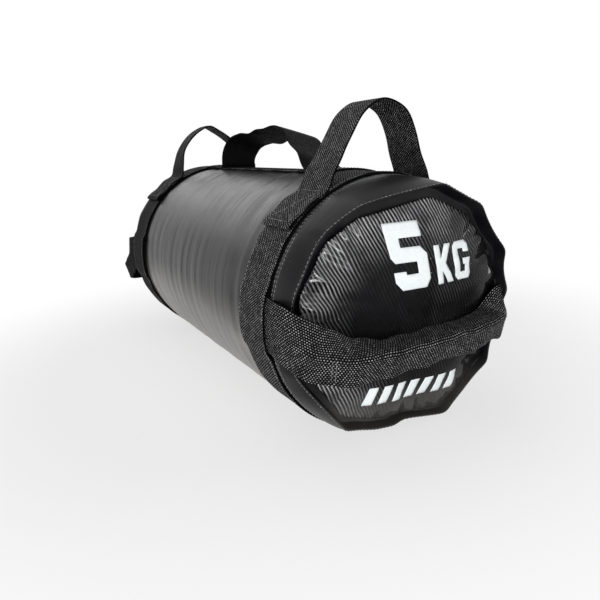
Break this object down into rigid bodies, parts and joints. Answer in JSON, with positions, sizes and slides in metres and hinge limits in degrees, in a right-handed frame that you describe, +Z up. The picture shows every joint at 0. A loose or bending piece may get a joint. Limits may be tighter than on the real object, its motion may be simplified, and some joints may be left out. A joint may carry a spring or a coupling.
{
  "type": "weighted training bag",
  "caption": "Filled black vinyl barrel bag with webbing bands, webbing carrying handles on top and across both ends, and domed end discs.",
  "frame": {"origin": "middle of the footprint on the floor, halfway between the two ends and below the barrel's axis", "axes": "+X along the barrel towards the front end face, +Z up, so +Y is the far side when the front end is on the right"},
  "size_m": [0.6018, 0.2608, 0.3045],
  "materials": {
    "vinyl": "black coated vinyl sheet, satin gloss, faint ripples round the barrel",
    "disc_vinyl": "black scrim-backed vinyl, fine upright ribs, satin gloss",
    "webbing": "black polypropylene webbing, open plain weave, matt with small bright specks",
    "foam": "grey open-cell foam, matt",
    "sack": "woven white plastic sackcloth",
    "sand": "dry sand, matt",
    "nylon": "natural nylon tie"
  },
  "bodies": {
    "bag": {"barrel_skin": "vinyl", "closing_seam_tape": "vinyl", "spine_strap": "webbing", "front_end_disc": "disc_vinyl", "front_rim_hem": "vinyl", "front_band": "webbing", "front_foam_pad": "foam", "rear_end_disc": "disc_vinyl", "rear_rim_hem": "vinyl", "rear_band": "webbing", "rear_foam_pad": "foam", "foam_wrap": "foam", "sand_sack": "sack", "sand_fill": "sand", "sack_tie": "nylon", "front_handle_left_patch": "webbing", "front_handle_right_patch": "webbing", "rear_handle_left_patch": "webbing", "rear_handle_right_patch": "webbing", "centre_handle_rear_patch": "webbing", "centre_handle_front_patch": "webbing", "front_end_handle_left_patch": "webbing", "front_end_handle_right_patch": "webbing", "rear_end_handle_left_patch": "webbing", "rear_end_handle_right_patch": "webbing", "front_handle_left_root": "webbing", "front_handle_right_root": "webbing", "rear_handle_left_root": "webbing", "rear_handle_right_root": "webbing", "centre_handle_rear_root": "webbing", "centre_handle_front_root": "webbing", "front_end_handle_left_root": "webbing", "front_end_handle_right_root": "webbing", "rear_end_handle_left_root": "webbing", "rear_end_handle_right_root": "webbing"},
    "front_handle": {"front_handle_grip": "webbing"},
    "rear_handle": {"rear_handle_grip": "webbing"},
    "centre_handle": {"centre_handle_grip": "webbing"},
    "front_end_handle": {"front_end_handle_grip": "webbing"},
    "rear_end_handle": {"rear_end_handle_grip": "webbing"}
  },
  "joints": [
    {"name": "front_handle_tilt", "type": "hinge", "parent": "bag", "child": "front_handle", "pos_m": [0.1945, 0, 0.2424], "axis": [0, 1, 0], "range_deg": [-45, 45], "stiffness_Nm_per_rad": 0.08, "deforming": ["front_handle_left_root", "front_handle_right_root"]},
    {"name": "rear_handle_tilt", "type": "hinge", "parent": "bag", "child": "rear_handle", "pos_m": [-0.1945, 0, 0.2424], "axis": [0, 1, 0], "range_deg": [-45, 45], "stiffness_Nm_per_rad": 0.08, "deforming": ["rear_handle_left_root", "rear_handle_right_root"]},
    {"name": "centre_handle_tilt", "type": "hinge", "parent": "bag", "child": "centre_handle", "pos_m": [0, 0.0117, 0.2531], "axis": [1, 0, 0], "range_deg": [-28, 52], "stiffness_Nm_per_rad": 0.1, "deforming": ["centre_handle_rear_root", "centre_handle_front_root"]},
    {"name": "front_end_handle_swing", "type": "hinge", "parent": "bag", "child": "front_end_handle", "pos_m": [0.2535, 0, 0.1256], "axis": [0, 1, 0], "range_deg": [-20, 20], "stiffness_Nm_per_rad": 0.3, "deforming": ["front_end_handle_left_root", "front_end_handle_right_root"]},
    {"name": "rear_end_handle_swing", "type": "hinge", "parent": "bag", "child": "rear_end_handle", "pos_m": [-0.2535, 0, 0.1256], "axis": [0, 1, 0], "range_deg": [-20, 20], "stiffness_Nm_per_rad": 0.3, "deforming": ["rear_end_handle_left_root", "rear_end_handle_right_root"]}
  ]
}
